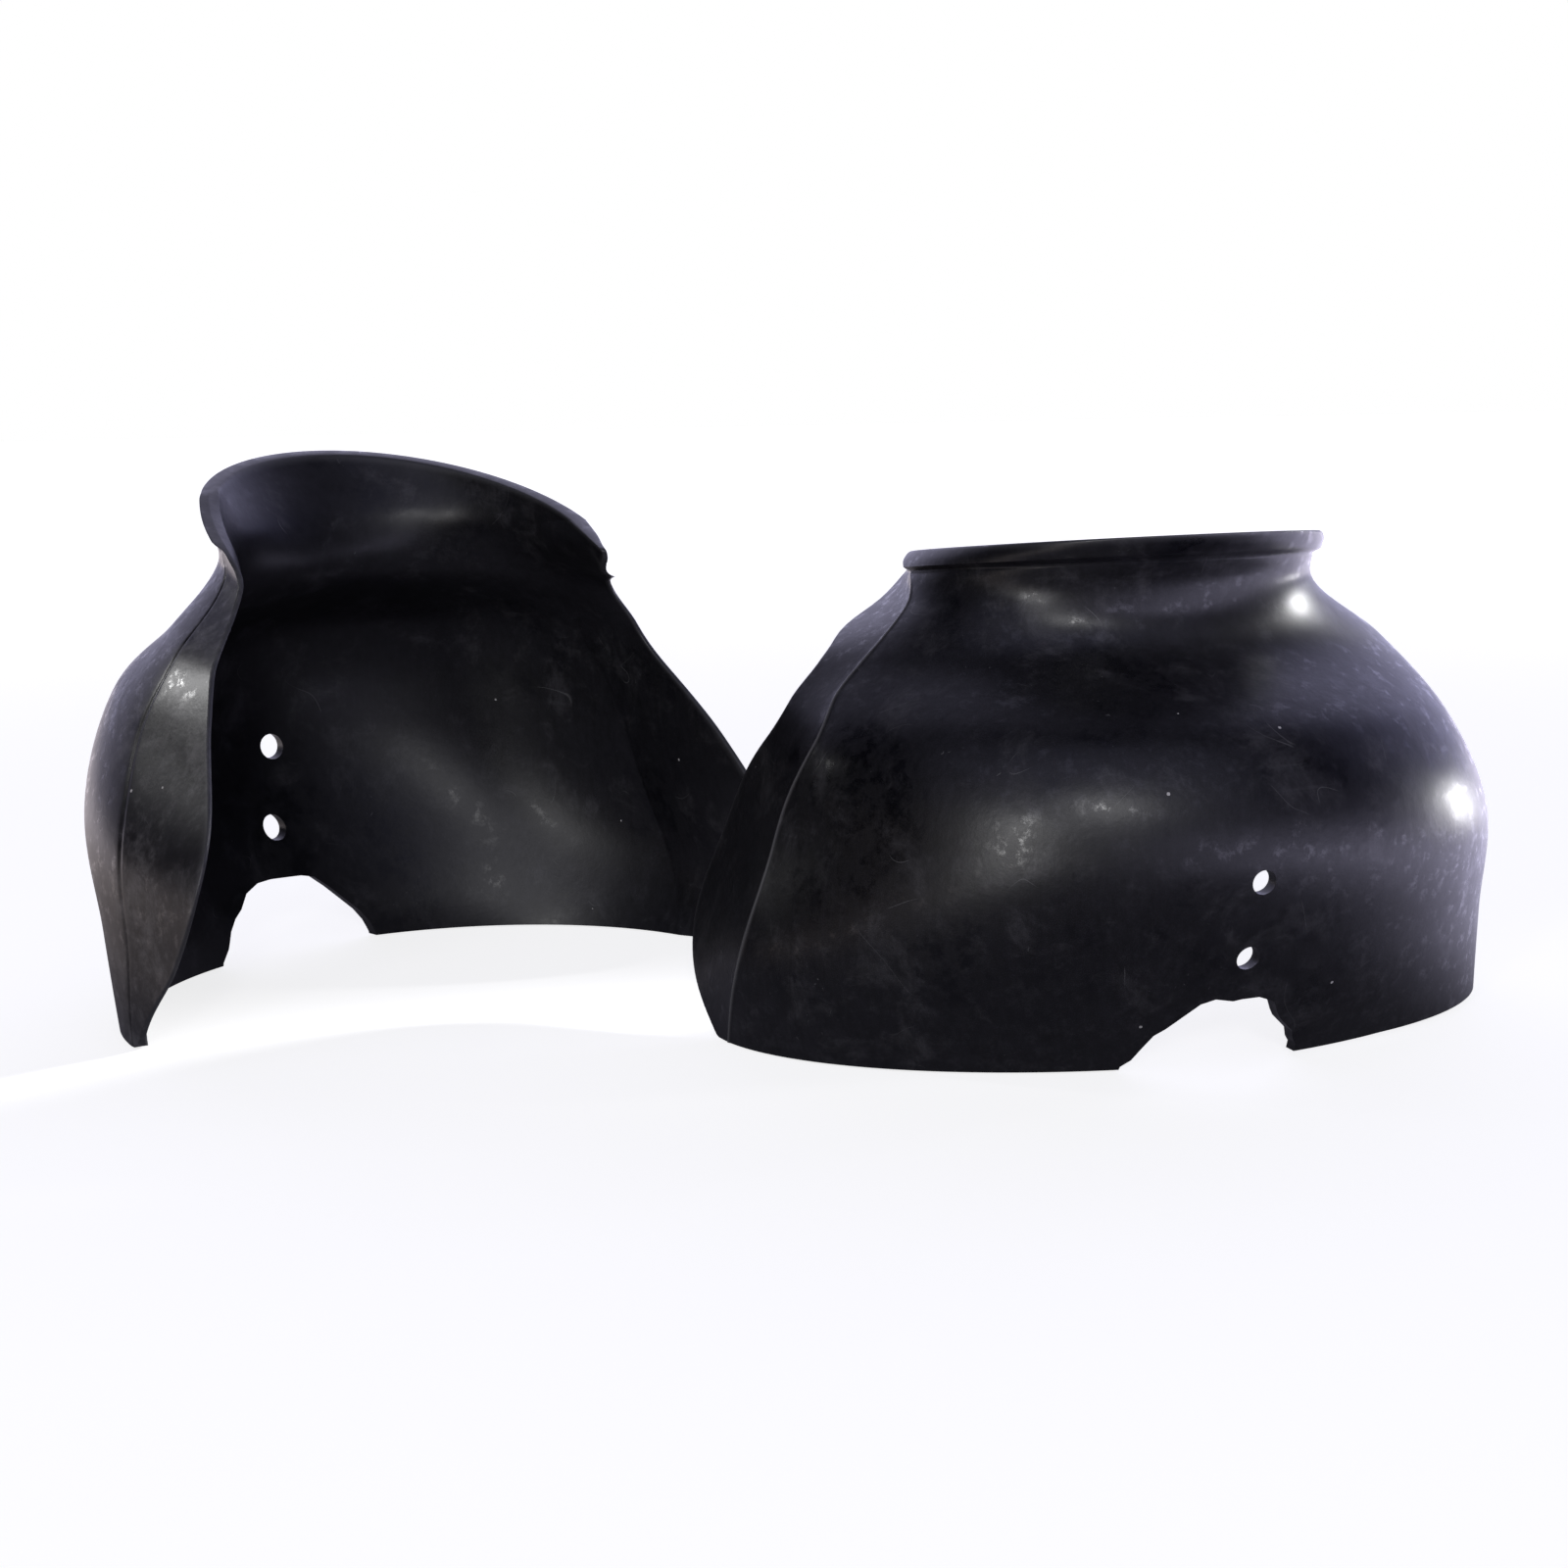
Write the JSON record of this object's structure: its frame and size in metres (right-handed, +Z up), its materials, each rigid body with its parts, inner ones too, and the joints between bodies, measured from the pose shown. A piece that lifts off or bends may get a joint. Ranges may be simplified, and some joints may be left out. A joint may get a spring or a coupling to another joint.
{
  "type": "pair of rubber boot guard shells",
  "caption": "Moulded black rubber guard shells shaped like open-sided bells, with a flared collar, a narrow neck, a bulging skirt, lace holes and a notched foot.",
  "frame": {"origin": "centre of the bounding box of the pair, on the floor that both shells stand on", "axes": "+Z up, +X from the left shell to the right shell, +Y away from the back of the right shell"},
  "size_m": [0.3138, 0.1722, 0.123],
  "materials": {
    "moulded_rubber": "satin moulded black rubber with a faint grey bloom and scuffs"
  },
  "bodies": {
    "right_shell": {"right_guard_shell": "moulded_rubber"},
    "left_shell": {"left_guard_shell": "moulded_rubber"}
  },
  "joints": [
    {"name": "lift_left_shell", "type": "slide", "parent": "right_shell", "child": "left_shell", "axis": [0, 0, 1], "range_m": [0, 0.13]}
  ]
}
